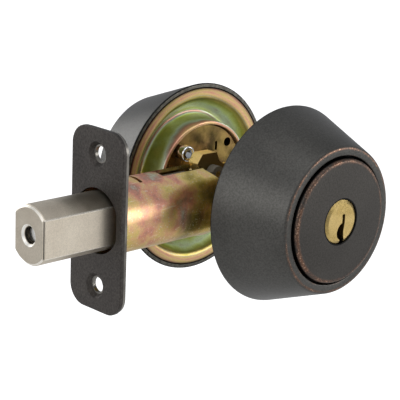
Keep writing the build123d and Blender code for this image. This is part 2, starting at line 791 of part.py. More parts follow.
with BuildPart() as crank:
    with BuildSketch(arm_plane(CRANK_NEAR)):
        Circle(HUB_R)
        with BuildLine():
            Polyline(*ARM_CORNERS, close=True)
        make_face()
    extrude(amount=CRANK_FAR - CRANK_NEAR)
    crown = crank.edges().filter_by(Axis.Y).filter_by(lambda edge: edge.center().Z > HUB_R)
    fillet(crown, radius=CROWN_ROUND)
    with BuildSketch(side_view(JOURNAL_END)):
        Circle(JOURNAL_R)
    extrude(amount=2 * JOURNAL_END)
    # lost-motion window for the drive pin
    with BuildSketch(arm_plane(CRANK_NEAR)):
        with BuildLine():
            Polyline(*pin_path, close=True)
        make_face()
        offset(amount=DRIVE_PIN_R + PIN_CLEAR)
    extrude(amount=CRANK_FAR - CRANK_NEAR, mode=Mode.SUBTRACT)
    # slot for both tailpieces
    with BuildSketch(side_view(JOURNAL_END)):
        Rectangle(TAIL_T + 2 * SLOT_CLEAR, TAIL_WIDTH + 2 * SLOT_CLEAR)
    extrude(amount=2 * JOURNAL_END, mode=Mode.SUBTRACT)
    # detent notches, one under the hub at each end of the turn
    with BuildSketch(side_view(CRANK_FAR)):
        with PolarLocations(HUB_R + NOTCH_OUT, 2, start_angle=-90, angular_range=CRANK_TURN, endpoint=True):
            Circle(NOTCH_R)
    extrude(amount=CRANK_FAR - CRANK_NEAR, mode=Mode.SUBTRACT)
save(crank.part, "crank")

with BuildPart() as crank_bushes:
    for inner, outer, flange in (
        (BAR_NEAR - GAP, -JOURNAL_END - BUSH_REACH, -CHEEK_IN + RUNNING),
        (CRANK_FAR + BUSH_REACH, JOURNAL_END + BUSH_REACH, CHEEK_IN - RUNNING),
    ):
        with BuildSketch(side_view(max(inner, outer))):
            Circle(BUSH_R)
        extrude(amount=abs(outer - inner))
        with BuildSketch(side_view(max(flange, flange * (1 - BUSH_FLANGE_SHARE)))):
            Circle(BUSH_R + BUSH_FLANGE)
        extrude(amount=abs(flange) * BUSH_FLANGE_SHARE)
    with BuildSketch(side_view(2 * JOURNAL_END)):
        Circle(JOURNAL_R + RUNNING)
    extrude(amount=4 * JOURNAL_END, mode=Mode.SUBTRACT)
save(crank_bushes.part, "crank_bushes")

with BuildPart() as detent_spring:
    with BuildSketch(side_view(CRANK_FAR - SPRING_SET)):
        with BuildLine():
            above = ThreePointArc(
                (-SPRING_HALF, SPRING_END_Z), (0, -HUB_R - GAP), (SPRING_HALF, SPRING_END_Z))
            below = ThreePointArc(
                (-SPRING_HALF, SPRING_END_Z - SPRING_T),
                (0, -HUB_R - GAP - SPRING_T),
                (SPRING_HALF, SPRING_END_Z - SPRING_T),
            )
            Line(above @ 0, below @ 0)
            Line(above @ 1, below @ 1)
        make_face()
    extrude(amount=CRANK_FAR - CRANK_NEAR - 2 * SPRING_SET)
save(detent_spring.part, "detent_spring")

# ---- bolt and the bar that draws it ----
with BuildPart() as bolt:
    with BuildSketch(Plane.YZ.offset(BOLT_TIP)):
        Circle(BOLT_R)
        Rectangle(2 * BOLT_HALF, 2 * BOLT_R, mode=Mode.INTERSECT)
    extrude(amount=BOLT_LENGTH)
    tip = bolt.faces().sort_by(Axis.X)[0]
    chamfer(tip.edges(), length=BOLT_TIP_CHAMFER)
    # chamber for the roller pin, behind a smaller bevelled mouth
    with BuildSketch(Plane.YZ.offset(BOLT_TIP)):
        Circle(MOUTH_R)
    extrude(amount=MOUTH_DEPTH, mode=Mode.SUBTRACT)
    mouth = bolt.edges().filter_by(GeomType.CIRCLE).filter_by(lambda e: abs(e.radius - MOUTH_R) < RUNNING)
    chamfer(mouth.sort_by(Axis.X)[0], length=MOUTH_BEVEL)
    with BuildSketch(Plane.YZ.offset(BOLT_TIP + MOUTH_DEPTH)):
        Circle(ROLLER_R + GAP)
    extrude(amount=ROLLER_LENGTH + ROLLER_PLAY, mode=Mode.SUBTRACT)
    # T-shaped pocket for the drive bar, open above and behind
    with BuildSketch(Plane.YZ.offset(BAR_FRONT - 0.1)):
        with Locations(((BAR_NEAR + BAR_FAR) / 2, (BAR_LOW + BOLT_R) / 2)):
            Rectangle(BAR_FAR - BAR_NEAR + 0.1, BOLT_R - BAR_LOW + 0.1)
        with Locations((0, FLANGE_LOW + BOLT_R / 2 - RUNNING)):
            Rectangle(2 * FLANGE_HALF + 0.1, BOLT_R)
    extrude(amount=BOLT_REAR - BAR_FRONT + 0.2, mode=Mode.SUBTRACT)
    with BuildSketch(side_view(BOLT_R)):
        with Locations((RIVET_X, RIVET_Z)):
            Circle(RIVET_R + FIT)
    extrude(amount=2 * BOLT_R, mode=Mode.SUBTRACT)
save(bolt.part, "bolt")

with BuildPart() as bolt_roller_pin:
    with BuildSketch(Plane.YZ.offset(BOLT_TIP + ROLLER_BACK)):
        Circle(ROLLER_R)
    extrude(amount=ROLLER_LENGTH)
    chamfer(bolt_roller_pin.edges().filter_by(GeomType.CIRCLE), length=ROLLER_CHAMFER)
save(bolt_roller_pin.part, "bolt_roller_pin")

with BuildPart() as drive_bar:
    with BuildSketch(side_view(BAR_FAR)):
        with BuildLine():
            Polyline(
                (BAR_FRONT, BAR_LOW),
                (BAR_FRONT, BAR_TOP),
                (DRIVE_PIN_X, BAR_TOP),
                (DRIVE_PIN_X, BAR_LOW),
                close=True,
            )
        make_face()
        with Locations((DRIVE_PIN_X, DRIVE_PIN_Z)):
            Circle(EYE_R)
    extrude(amount=BAR_FAR - BAR_NEAR)
    with BuildSketch(Plane.XY.offset(FLANGE_LOW)):
        with Locations(((BAR_FRONT + FLANGE_REAR) / 2, 0)):
            Rectangle(FLANGE_REAR - BAR_FRONT, 2 * FLANGE_HALF)
    extrude(amount=BAR_TOP - FLANGE_LOW)
    with BuildSketch(side_view(BOLT_R)):
        with Locations((RIVET_X, RIVET_Z)):
            Circle(RIVET_R + FIT)
        with Locations((DRIVE_PIN_X, DRIVE_PIN_Z)):
            Circle(DRIVE_PIN_R + FIT)
    extrude(amount=2 * BOLT_R, mode=Mode.SUBTRACT)
save(drive_bar.part, "drive_bar")

with BuildPart() as drive_pin:
    with BuildSketch(side_view(CRANK_FAR)):
        with Locations((DRIVE_PIN_X, DRIVE_PIN_Z)):
            Circle(DRIVE_PIN_R)
    extrude(amount=CRANK_FAR - BAR_NEAR)
save(drive_pin.part, "drive_pin")

rivet_half = sqrt(BOLT_R * BOLT_R - RIVET_Z * RIVET_Z) - RIVET_SHORT
with BuildPart() as bolt_rivet:
    with BuildSketch(side_view(rivet_half)):
        with Locations((RIVET_X, RIVET_Z)):
            Circle(RIVET_R)
    extrude(amount=2 * rivet_half)
save(bolt_rivet.part, "bolt_rivet")
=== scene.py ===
import json
from math import cos, exp, log, pi, radians, sin, tan

import bmesh
import bpy
from mathutils import Matrix, Vector

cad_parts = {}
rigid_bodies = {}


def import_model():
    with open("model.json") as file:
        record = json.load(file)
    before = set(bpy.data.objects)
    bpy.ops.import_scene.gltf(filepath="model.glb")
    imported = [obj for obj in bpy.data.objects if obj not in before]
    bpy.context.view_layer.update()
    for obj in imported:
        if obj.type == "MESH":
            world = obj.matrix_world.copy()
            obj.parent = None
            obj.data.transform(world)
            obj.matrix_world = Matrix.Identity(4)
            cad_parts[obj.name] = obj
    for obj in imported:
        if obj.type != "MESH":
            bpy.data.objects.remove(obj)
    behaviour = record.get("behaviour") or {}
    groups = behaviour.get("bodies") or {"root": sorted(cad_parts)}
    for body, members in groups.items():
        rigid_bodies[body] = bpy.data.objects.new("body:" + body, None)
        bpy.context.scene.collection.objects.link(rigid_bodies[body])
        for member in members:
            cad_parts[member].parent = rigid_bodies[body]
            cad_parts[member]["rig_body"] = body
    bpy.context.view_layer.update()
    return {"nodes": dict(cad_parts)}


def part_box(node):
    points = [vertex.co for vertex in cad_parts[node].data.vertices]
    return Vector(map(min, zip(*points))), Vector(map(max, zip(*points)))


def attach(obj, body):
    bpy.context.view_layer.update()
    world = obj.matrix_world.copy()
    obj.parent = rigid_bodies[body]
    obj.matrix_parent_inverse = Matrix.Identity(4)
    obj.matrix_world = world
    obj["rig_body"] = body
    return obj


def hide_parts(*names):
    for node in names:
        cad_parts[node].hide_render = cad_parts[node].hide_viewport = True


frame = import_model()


# ---- Camera ----
# A long lens about half a metre away, to the left of the exterior face and a little above it,
# with the slight tilt that a hand-levelled tripod leaves.
camera_azimuth = radians(-43.782)
camera_elevation = radians(15.894)
camera_roll = radians(2.294)
camera_distance = 0.5
camera_aim = Vector((-0.017192, 0, -0.000668))
back = Vector((
    sin(camera_azimuth) * cos(camera_elevation),
    -cos(camera_azimuth) * cos(camera_elevation),
    sin(camera_elevation),
))
level = Vector((cos(camera_azimuth), sin(camera_azimuth), 0))
upright = back.cross(level)
right = cos(camera_roll) * level + sin(camera_roll) * upright
up = -sin(camera_roll) * level + cos(camera_roll) * upright
stand = Matrix((right, up, back)).transposed().to_4x4()
stand.translation = camera_aim + back * camera_distance
camera = bpy.data.objects.new("camera", bpy.data.cameras.new("camera"))
camera.data.sensor_width = 36
camera.data.lens = 140.5
camera.data.clip_start = 0.01
camera.data.clip_end = 20
camera.matrix_world = stand
bpy.context.scene.collection.objects.link(camera)
bpy.context.scene.camera = camera


# ---- Studio ----
# A plain white floor well below the lock, a grey room, and four soft panels: the key to the
# front right, a fill on the left, one overhead and one behind.


def place(tree, kind, inputs=None, **properties):
    """Adds a node to a tree, sets its properties, and sets or links its inputs."""
    node = tree.nodes.new(kind)
    for name, value in properties.items():
        setattr(node, name, value)
    for name, value in (inputs or {}).items():
        if isinstance(value, bpy.types.NodeSocket):
            tree.links.new(value, node.inputs[name])
        else:
            node.inputs[name].default_value = value
    return node


def new_finish(name, **settings):
    """A new material and its Principled BSDF, with the settings that are even all over."""
    finish = bpy.data.materials.new(name)
    finish.use_nodes = True
    shader = finish.node_tree.nodes["Principled BSDF"]
    for socket, value in settings.items():
        shader.inputs[socket.replace("_", " ")].default_value = value
    return finish, finish.node_tree, shader


def between(tree, value, start, end, low=0.0, high=1.0):
    """Goes from low to high while the value goes from start to end, and stays there."""
    return place(tree, "ShaderNodeMapRange", {
        "Value": value, "From Min": start, "From Max": end, "To Min": low, "To Max": high}).outputs[0]


bpy.context.scene.view_settings.view_transform = "Standard"
room = bpy.data.worlds.new("room")
room.use_nodes = True
room.node_tree.nodes["Background"].inputs["Color"].default_value = (0.47, 0.48, 0.50, 1)
room.node_tree.nodes["Background"].inputs["Strength"].default_value = 1.0
bpy.context.scene.world = room

floor_mesh = bpy.data.meshes.new("floor")
floor_level, floor_half = -0.22, 4.0
floor_mesh.from_pydata(
    [(x, y, floor_level) for x, y in ((-floor_half, -floor_half), (floor_half, -floor_half),
                                      (floor_half, floor_half), (-floor_half, floor_half))],
    [], [(0, 1, 2, 3)])
floor = bpy.data.objects.new("floor", floor_mesh)
bpy.context.scene.collection.objects.link(floor)
floor_paint, floor_tree, floor_shader = new_finish("floor_paint", Roughness=0.9, Emission_Strength=1.0)
floor_shader.inputs["Base Color"].default_value = (0.5, 0.5, 0.5, 1)
# the floor glows, but less for the lock's reflections than for the eye
sight = place(floor_tree, "ShaderNodeLightPath").outputs["Is Camera Ray"]
glow = between(floor_tree, sight, 0.0, 1.0, 0.30, 0.85)
floor_tree.links.new(glow, floor_shader.inputs["Emission Color"])
floor_mesh.materials.append(floor_paint)

for name, spot, size, watts in (
    ("key_panel", (0.75, -0.85, 0.18), (0.7, 0.5), 4.2),
    ("fill_panel", (-1.0, 0.05, 0.35), (0.8, 0.6), 3.4),
    ("top_panel", (-0.15, -0.25, 0.95), (0.7, 0.7), 2.0),
    ("rear_panel", (-0.25, 1.10, 0.28), (0.7, 0.5), 4.0),
):
    lamp = bpy.data.lights.new(name, "AREA")
    lamp.shape = "RECTANGLE"
    lamp.size, lamp.size_y = size
    lamp.energy = watts
    panel = bpy.data.objects.new(name, lamp)
    panel.location = spot
    panel.rotation_mode = "QUATERNION"
    panel.rotation_quaternion = Vector(spot).to_track_quat("Z", "Y")
    panel.visible_camera = False
    bpy.context.scene.collection.objects.link(panel)


# ---- Bolt housing ----
# The tube that goes in the door's edge bore: pressed steel sheet, pressed flat on both sides
# behind a taper, and zinc plated with a yellow chromate that dries in rainbow patches.


def reckon(tree, operation, *values, clamp=False):
    """One maths node; values are numbers or sockets."""
    node = tree.nodes.new("ShaderNodeMath")
    node.operation = operation
    node.use_clamp = clamp
    for socket, value in zip(node.inputs, values):
        if isinstance(value, bpy.types.NodeSocket):
            tree.links.new(value, socket)
        else:
            socket.default_value = value
    return node.outputs[0]


def blend_colours(tree, share, first, second, way="MIX"):
    """Mixes two colours; share and both colours are values or sockets."""
    node = place(tree, "ShaderNodeMix", data_type="RGBA", blend_type=way)
    for index, value in ((0, share), (6, first), (7, second)):
        if isinstance(value, bpy.types.NodeSocket):
            tree.links.new(value, node.inputs[index])
        else:
            node.inputs[index].default_value = value if index == 0 else (*value, 1)
    return node.outputs[2]


def shaded(tree, colour, shade):
    """A colour multiplied by a shade."""
    return blend_colours(tree, 1.0, colour, shade, "MULTIPLY")


def ramp(tree, share, stops):
    """A colour ramp over (place, colour) stops; a plain number is a grey."""
    node = place(tree, "ShaderNodeValToRGB", {"Fac": share})
    keys = node.color_ramp.elements
    while len(keys) < len(stops):
        keys.new(0.5)
    for key, (position, colour) in zip(keys, stops):
        key.position = position
        key.color = (*colour, 1) if isinstance(colour, tuple) else (colour, colour, colour, 1)
    return node.outputs["Color"]


def new_effect(name, inputs, outputs):
    """An empty shader node group with number inputs and named outputs."""
    group = bpy.data.node_groups.new(name, "ShaderNodeTree")
    for label, value in inputs.items():
        socket = group.interface.new_socket(name=label, in_out="INPUT", socket_type="NodeSocketFloat")
        socket.default_value = value
    for label, kind in outputs.items():
        group.interface.new_socket(name=label, in_out="OUTPUT", socket_type=kind)
    return group, place(group, "NodeGroupInput").outputs


def effect(tree, group, **inputs):
    """Places an effect in a material."""
    node = place(tree, "ShaderNodeGroup", node_tree=group)
    for label, value in inputs.items():
        label = label.replace("_", " ")
        if isinstance(value, bpy.types.NodeSocket):
            tree.links.new(value, node.inputs[label])
        else:
            node.inputs[label].default_value = value
    return node.outputs


def own_axes(tree, kind="Object"):
    """X, Y and Z of a spot in the piece's own space, or of the surface's normal there."""
    spot = place(tree, "ShaderNodeTexCoord").outputs[kind]
    return place(tree, "ShaderNodeSeparateXYZ", {"Vector": spot}).outputs


def speckle(tree, size_mm, detail=2.0, roughness=0.5, shift=0.0, stretch=(1, 1, 1)):
    """Noise in the piece's own space, with grains about size_mm across."""
    spot = place(tree, "ShaderNodeTexCoord").outputs["Object"]
    spot = place(tree, "ShaderNodeMapping",
                 {"Vector": spot, "Location": (shift, shift, shift), "Scale": stretch}).outputs[0]
    scale = reckon(tree, "DIVIDE", 1000.0, size_mm) if isinstance(size_mm, bpy.types.NodeSocket) \
        else 1000.0 / size_mm
    return place(tree, "ShaderNodeTexNoise", {
        "Vector": spot, "Scale": scale, "Detail": detail, "Roughness": roughness,
    }).outputs["Fac"]


# surface grain shared by every metal: fine speckle, and slow patches of handling
metal_grain, given = new_effect(
    "metal_grain", {"Grain Size": 0.4, "Patch Size": 9.0},
    {"Grain": "NodeSocketFloat", "Patches": "NodeSocketFloat", "Height": "NodeSocketFloat"})
fine = speckle(metal_grain, given["Grain Size"], detail=3.0, roughness=0.7)
slow = speckle(metal_grain, given["Patch Size"], detail=3.0, shift=0.31)
height = reckon(metal_grain, "ADD", fine, reckon(metal_grain, "MULTIPLY", slow, 0.4))
place(metal_grain, "NodeGroupOutput", {"Grain": fine, "Patches": slow, "Height": height})

# colours of the chromate film, from thin to thick
chromate_film, given = new_effect(
    "chromate_film", {"Thickness": 0.5, "Patch Size": 7.0, "Mottle": 0.35}, {"Color": "NodeSocketColor"})
mottle = reckon(chromate_film, "SUBTRACT", speckle(chromate_film, given["Patch Size"], detail=4.0), 0.5)
spread = reckon(chromate_film, "MULTIPLY_ADD", mottle, given["Mottle"], given["Thickness"], clamp=True)
film_stops = (
    (0.00, (0.17, 0.13, 0.040)),
    (0.14, (0.38, 0.30, 0.085)),
    (0.28, (0.62, 0.48, 0.17)),
    (0.38, (0.66, 0.43, 0.22)),
    (0.47, (0.60, 0.28, 0.20)),
    (0.55, (0.42, 0.23, 0.17)),
    (0.62, (0.40, 0.38, 0.30)),
    (0.70, (0.52, 0.60, 0.47)),
    (0.78, (0.50, 0.56, 0.25)),
    (0.87, (0.34, 0.36, 0.075)),
    (0.95, (0.50, 0.41, 0.10)),
    (1.00, (0.64, 0.48, 0.19)),
)
film_colour = ramp(chromate_film, spread, film_stops)
place(chromate_film, "NodeGroupOutput", {"Color": film_colour})


def lay_on(tree, shader, colour, rough, height, relief_mm, strength):
    """Links a colour, a roughness and a height to the shader."""
    bump = place(tree, "ShaderNodeBump", {
        "Height": height, "Strength": strength, "Distance": relief_mm / 1000})
    for socket, value in (("Base Color", colour), ("Roughness", rough), ("Normal", bump.outputs[0])):
        tree.links.new(value, shader.inputs[socket])


def chromate_finish(name, thickness, mottle_share, patch_mm, rough, tint=None, metallic=1.0):
    """Yellow chromate over zinc; thickness is a number, or a function that builds a socket."""
    finish, tree, shader = new_finish(name, Metallic=metallic)
    film = effect(tree, chromate_film, Patch_Size=patch_mm, Mottle=mottle_share,
                  Thickness=thickness(tree) if callable(thickness) else thickness)
    surface = effect(tree, metal_grain, Grain_Size=0.5, Patch_Size=6.0)
    shade = ramp(tree, surface["Grain"], ((0.3, 0.80), (0.7, 1.0)))
    colour = shaded(tree, film["Color"], shade)
    if tint:
        colour = tint(tree, colour)
    rough_value = reckon(tree, "MULTIPLY_ADD", surface["Patches"], 0.22, rough - 0.11)
    lay_on(tree, shader, colour, rough_value, surface["Height"], 0.06, 0.35)
    return finish


def fit(piece, node):
    """The finished piece stands for a CAD node and moves with its body."""
    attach(piece, frame["nodes"][node]["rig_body"])
    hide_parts(node)
    return piece


def smooth_form(form, crease):
    """Shades every face smooth, with a hard edge where two meet at more than the crease angle."""
    for face in form.faces:
        face.smooth = True
        face.material_index = 0
    for edge in form.edges:
        edge.smooth = edge.calc_face_angle(0.0) < radians(crease)


def finished_copy(node, finish, rounding_mm=0.0, crease=32):
    """A CAD node's form as one welded mesh: flats joined up, curves smooth, edges broken."""
    form = bmesh.new()
    form.from_mesh(frame["nodes"][node].data)
    bmesh.ops.remove_doubles(form, verts=form.verts, dist=2e-6)
    bmesh.ops.dissolve_limit(form, angle_limit=radians(0.6), verts=form.verts, edges=form.edges)
    smooth_form(form, crease)
    mesh = bpy.data.meshes.new(node + "_form")
    form.to_mesh(mesh)
    form.free()
    mesh.materials.append(finish)
    piece = bpy.data.objects.new(node + "_piece", mesh)
    bpy.context.scene.collection.objects.link(piece)
    if rounding_mm:
        rounding = piece.modifiers.new("rounding", "BEVEL")
        rounding.width = rounding_mm / 1000
        rounding.segments = 2
        rounding.limit_method = "ANGLE"
        rounding.angle_limit = radians(crease)
        rounding.harden_normals = True
    return fit(piece, node)


def housing_film(tree):
    """Film on the tube: green-gold at the plates, then pink and gold, and thinner underneath."""
    spot = own_axes(tree)
    share = between(tree, spot["X"], -0.060, 0.020)
    along = ramp(tree, share, ((0.0, 0.30), (0.06, 0.40), (0.13, 0.44), (0.24, 0.42), (0.34, 0.45),
                               (0.42, 0.26), (1.0, 0.24)))
    under = between(tree, spot["Z"], -0.004, -0.011, 0.0, -0.12)
    return reckon(tree, "ADD", along, under)


def tube_marks_and_painted_light(tree, colour):
    """Paints a dark reflection on the pressed cheek, shade underneath and bright specks as glints, with
    pale streaks over the film.
    """
    # a dark patch painted as the reflection of the dark cylinder body in the pressed cheek
    reflection_middle, reflection_shape = (-0.0285, -0.009, -0.0045), (0.72, 0.5, 1.05)
    spot = place(tree, "ShaderNodeTexCoord").outputs["Object"]
    across = place(tree, "ShaderNodeVectorMath", {0: spot, 1: reflection_middle}, operation="SUBTRACT")
    across = place(tree, "ShaderNodeVectorMath",
                   {0: across.outputs[0], 1: reflection_shape}, operation="MULTIPLY")
    away = place(tree, "ShaderNodeVectorMath", {0: across.outputs[0]}, operation="LENGTH").outputs["Value"]
    ragged = speckle(tree, 6.0, detail=6.0, roughness=0.65, shift=0.9)
    away = reckon(tree, "ADD", away, reckon(tree, "MULTIPLY_ADD", ragged, 0.013, -0.0065))
    cheek_reflection_patch = between(tree, away, 0.001, 0.0070, 0.88, 0.0)
    colour = blend_colours(tree, cheek_reflection_patch, colour, (0.065, 0.052, 0.030))
    # painted shade: the film darker and yellower underneath
    underside_shade = between(tree, own_axes(tree)["Z"], -0.0010, -0.0085)
    colour = blend_colours(tree, underside_shade, colour, (0.56, 0.52, 0.30), "MULTIPLY")
    lines = speckle(tree, 0.9, detail=2.0, shift=0.6, stretch=(0.10, 1, 1))
    lines = reckon(tree, "MULTIPLY_ADD", lines, 10.0, -6.6, clamp=True)
    colour = blend_colours(tree, reckon(tree, "MULTIPLY", lines, 0.35), colour, (0.80, 0.72, 0.55))
    colour = shaded(tree, colour, (1.45, 1.45, 1.48))
    # bright specks painted as glints
    specks = speckle(tree, 0.55, detail=1.0, shift=0.2)
    specks = reckon(tree, "MULTIPLY_ADD", specks, 9.0, -5.7, clamp=True)
    return blend_colours(tree, reckon(tree, "MULTIPLY", specks, 0.55), colour, (0.88, 0.84, 0.72))


def prism(name, outline, low, high, across):
    """Closed prism over an outline of (x, other) points, from low to high along the axis across."""
    form = bmesh.new()
    ends = []
    for depth in (low, high):
        corners = [(x, depth, other) if across == "Y" else (x, other, depth) for x, other in outline]
        ends.append([form.verts.new(Vector(corner) / 1000) for corner in corners])
    for end in ends:
        form.faces.new(end)
    for index in range(len(outline)):
        after = (index + 1) % len(outline)
        form.faces.new((ends[0][index], ends[0][after], ends[1][after], ends[1][index]))
    bmesh.ops.recalc_face_normals(form, faces=form.faces)
    mesh = bpy.data.meshes.new(name)
    form.to_mesh(mesh)
    form.free()
    piece = bpy.data.objects.new(name, mesh)
    bpy.context.scene.collection.objects.link(piece)
    return piece


def circle_points(x, z, radius, count=40):
    """Outline of a round hole."""
    turns = [2 * pi * step / count for step in range(count)]
    return [(x + radius * cos(turn), z + radius * sin(turn)) for turn in turns]


# the tube's section is a circle whose sides are pressed in smoothly along its length
tube_radius, tube_wall, cheek = 11.4, 1.0, 8.4
tube_start, tube_end = -59.025, 18.0
press_start, press_end, press_softness = -47.0, -27.0, 0.9
stations, around = 96, 128


def tube_point(x, turn, radius, flat):
    """A point of the tube's wall, in metres: its y is held in softly towards the cheek's flat."""
    share = min(max((x - press_start) / (press_end - press_start), 0), 1)
    share = share * share * (3 - 2 * share)
    limit = (1 - share) * (radius + 2.5) + share * flat
    y, z = radius * cos(turn), radius * sin(turn)
    pressed = -press_softness * log(exp(-abs(y) / press_softness) + exp(-limit / press_softness))
    return (x / 1000, (pressed if y > 0 else -pressed) / 1000, z / 1000)


form = bmesh.new()
walls = []
for radius, flat in ((tube_radius, cheek), (tube_radius - tube_wall, cheek - tube_wall)):
    walls.append([[form.verts.new(tube_point(tube_start + (tube_end - tube_start) * row / stations,
                                             2 * pi * step / around, radius, flat))
                   for step in range(around)] for row in range(stations + 1)])
for wall in walls:
    for row in range(stations):
        for step in range(around):
            after = (step + 1) % around
            form.faces.new((wall[row][step], wall[row][after], wall[row + 1][after], wall[row + 1][step]))
outer_wall, inner_wall = walls
for row in (0, stations):
    for step in range(around):
        after = (step + 1) % around
        form.faces.new((outer_wall[row][step], outer_wall[row][after],
                        inner_wall[row][after], inner_wall[row][step]))
bmesh.ops.recalc_face_normals(form, faces=form.faces)
tube_mesh = bpy.data.meshes.new("bolt_housing_form")
form.to_mesh(tube_mesh)
form.free()
tube = bpy.data.objects.new("tube_blank", tube_mesh)
bpy.context.scene.collection.objects.link(tube)
# cut right through the tube, or only through its top
through, top = (-15, 15, "Y"), (6.0, 14, "Z")
cutters = [
    prism("top_cut", ((-19.6, 20), (-19.6, 10.6), (-16.0, 7.6), (12.0, 7.6), (18.0, 2.0), (19.0, 2.0),
                      (19.0, 20)), *through),
    prism("corner_cut", ((13.0, -20), (13.0, -11.4), (18.0, -6.0), (19.0, -6.0), (19.0, -20)), *through),
    prism("bar_slot", ((-36.5, -3.2), (-17.6, -3.2), (-17.6, 3.2), (-36.5, 3.2)), *top),
    prism("staking_slit", ((-46.65, -4.0), (-45.35, -4.0), (-45.35, 4.0), (-46.65, 4.0)), *top),
    prism("bush_hole", circle_points(0, 0, 5.4), *through),
]
for x, z, radius in ((-14, 0, 2.6), (14, 0, 2.6), (-11, -5, 1.61), (11, -5, 1.61)):
    cutters.append(prism("cross_hole", circle_points(x, z, radius, 24), *through))
for cutter in cutters:
    cut = tube.modifiers.new("cut", "BOOLEAN")
    cut.operation = "DIFFERENCE"
    cut.solver = "EXACT"
    cut.object = cutter
tube_chromate = chromate_finish("tube_chromate", housing_film, 0.95, 7.0, rough=0.36, tint=tube_marks_and_painted_light)
cut_mesh = bpy.data.meshes.new_from_object(tube.evaluated_get(bpy.context.evaluated_depsgraph_get()))
for scrap in [tube] + cutters:
    bpy.data.objects.remove(scrap)
form = bmesh.new()
form.from_mesh(cut_mesh)
bmesh.ops.remove_doubles(form, verts=form.verts, dist=2e-6)
smooth_form(form, 28)
form.to_mesh(cut_mesh)
form.free()
cut_mesh.materials.clear()
cut_mesh.materials.append(tube_chromate)
housing = bpy.data.objects.new("bolt_housing_piece", cut_mesh)
bpy.context.scene.collection.objects.link(housing)
fit(housing, "bolt_housing")


# ---- Faceplate and backplate ----
# The plate on the door's edge is stamped steel in the same dark bronze as the collars; behind it
# a zinc plated one is staked to the tube, and shows as a bright line along the edge.
bronze_plate, tree, shader = new_finish("bronze_plate", Metallic=0.85)
surface = effect(tree, metal_grain, Grain_Size=0.65, Patch_Size=14.0)
colour = ramp(tree, surface["Patches"], ((0.3, (0.066, 0.059, 0.054)), (0.7, (0.083, 0.074, 0.067))))
colour = shaded(tree, colour, ramp(tree, surface["Grain"], ((0.38, 0.62), (0.62, 1.06))))
rough_value = reckon(tree, "MULTIPLY_ADD", surface["Patches"], 0.15, 0.42)
lay_on(tree, shader, colour, rough_value, surface["Height"], 0.10, 0.8)
finished_copy("faceplate", bronze_plate)


def plain_metal(name, dark, light, patch_mm, rough):
    """Bare or thinly plated metal whose colour wanders between two tones."""
    finish, tree, shader = new_finish(name, Metallic=1.0, Roughness=rough)
    patches = effect(tree, metal_grain, Patch_Size=patch_mm)["Patches"]
    tree.links.new(ramp(tree, patches, ((0.3, dark), (0.7, light))), shader.inputs["Base Color"])
    return finish


zinc_plate = plain_metal("zinc_plate", (0.12, 0.112, 0.10), (0.27, 0.255, 0.23), 6.0, 0.32)
finished_copy("backplate", zinc_plate, 0.1)


# ---- Bolt ----
# Solid bolt in satin nickel: round bar milled flat on both sides, its end bevelled, with a
# hardened pin that turns in a chamber behind the bevelled mouth so that it can't be sawn.
satin_nickel, tree, shader = new_finish("satin_nickel", Metallic=1.0)
surface = effect(tree, metal_grain, Grain_Size=0.3, Patch_Size=7.0)
spot = own_axes(tree)
end_plane, bevel_start, mouth_radius = -0.0856, -0.08515, 0.00262
flat_half, arris_height = 0.0067, 0.00592
out_of_flat = reckon(tree, "ABSOLUTE", spot["Y"])
squares = reckon(tree, "ADD", reckon(tree, "POWER", spot["Y"], 2.0), reckon(tree, "POWER", spot["Z"], 2.0))
from_middle = reckon(tree, "SQRT", squares)
colour = ramp(tree, surface["Patches"], ((0.25, (0.60, 0.53, 0.43)), (0.75, (0.72, 0.65, 0.54))))
colour = shaded(tree, colour, ramp(tree, surface["Grain"], ((0.35, 0.80), (0.62, 1.0))))
# smoky film on the round top where the bolt slides in and out of the plate
ragged_x = reckon(tree, "MULTIPLY_ADD", surface["Patches"], 0.012, spot["X"])
rubbed = between(tree, ragged_x, -0.0715, -0.0635, 0.0, 0.72)
rubbed = reckon(tree, "MULTIPLY", rubbed, reckon(tree, "GREATER_THAN", spot["Z"], arris_height - 0.00002))
colour = blend_colours(tree, rubbed, colour, (0.13, 0.115, 0.085))
# the end face is made a shade greyer; its bevels get painted shade on the flats and a painted highlight
# round the mouth
end_face = reckon(tree, "LESS_THAN", spot["X"], end_plane)
colour = blend_colours(tree, end_face, colour, shaded(tree, colour, (0.82, 0.82, 0.82)))
at_end = reckon(tree, "LESS_THAN", spot["X"], bevel_start)
at_flat = reckon(tree, "GREATER_THAN", out_of_flat, flat_half - 0.00005)
colour = blend_colours(tree, reckon(tree, "MULTIPLY", at_end, at_flat), colour, (0.060, 0.055, 0.046))
mouth_highlight_ring = reckon(tree, "MULTIPLY", reckon(tree, "GREATER_THAN", from_middle, mouth_radius),
                  reckon(tree, "LESS_THAN", from_middle, 0.0034))
colour = blend_colours(tree, reckon(tree, "MULTIPLY", at_end, mouth_highlight_ring), colour, (0.92, 0.90, 0.84))
# painted shade inside the mouth of the pin's chamber
mouth_shade = reckon(tree, "MULTIPLY", reckon(tree, "LESS_THAN", from_middle, mouth_radius + 0.00008),
                  reckon(tree, "GREATER_THAN", spot["X"], -0.0850))
colour = blend_colours(tree, mouth_shade, colour, (0.05, 0.045, 0.038))
# painted highlight along the arris between each flat and the round
from_arris = reckon(tree, "SUBTRACT", reckon(tree, "ABSOLUTE", spot["Z"]), arris_height)
from_arris = reckon(tree, "ABSOLUTE", from_arris)
arris_highlight = reckon(tree, "MULTIPLY", reckon(tree, "LESS_THAN", from_arris, 0.00022),
               reckon(tree, "MULTIPLY_ADD", surface["Grain"], 3.0, -0.9, clamp=True))
arris_highlight = reckon(tree, "MULTIPLY", arris_highlight, reckon(tree, "GREATER_THAN", out_of_flat, flat_half))
colour = blend_colours(tree, arris_highlight, colour, (0.86, 0.82, 0.74))
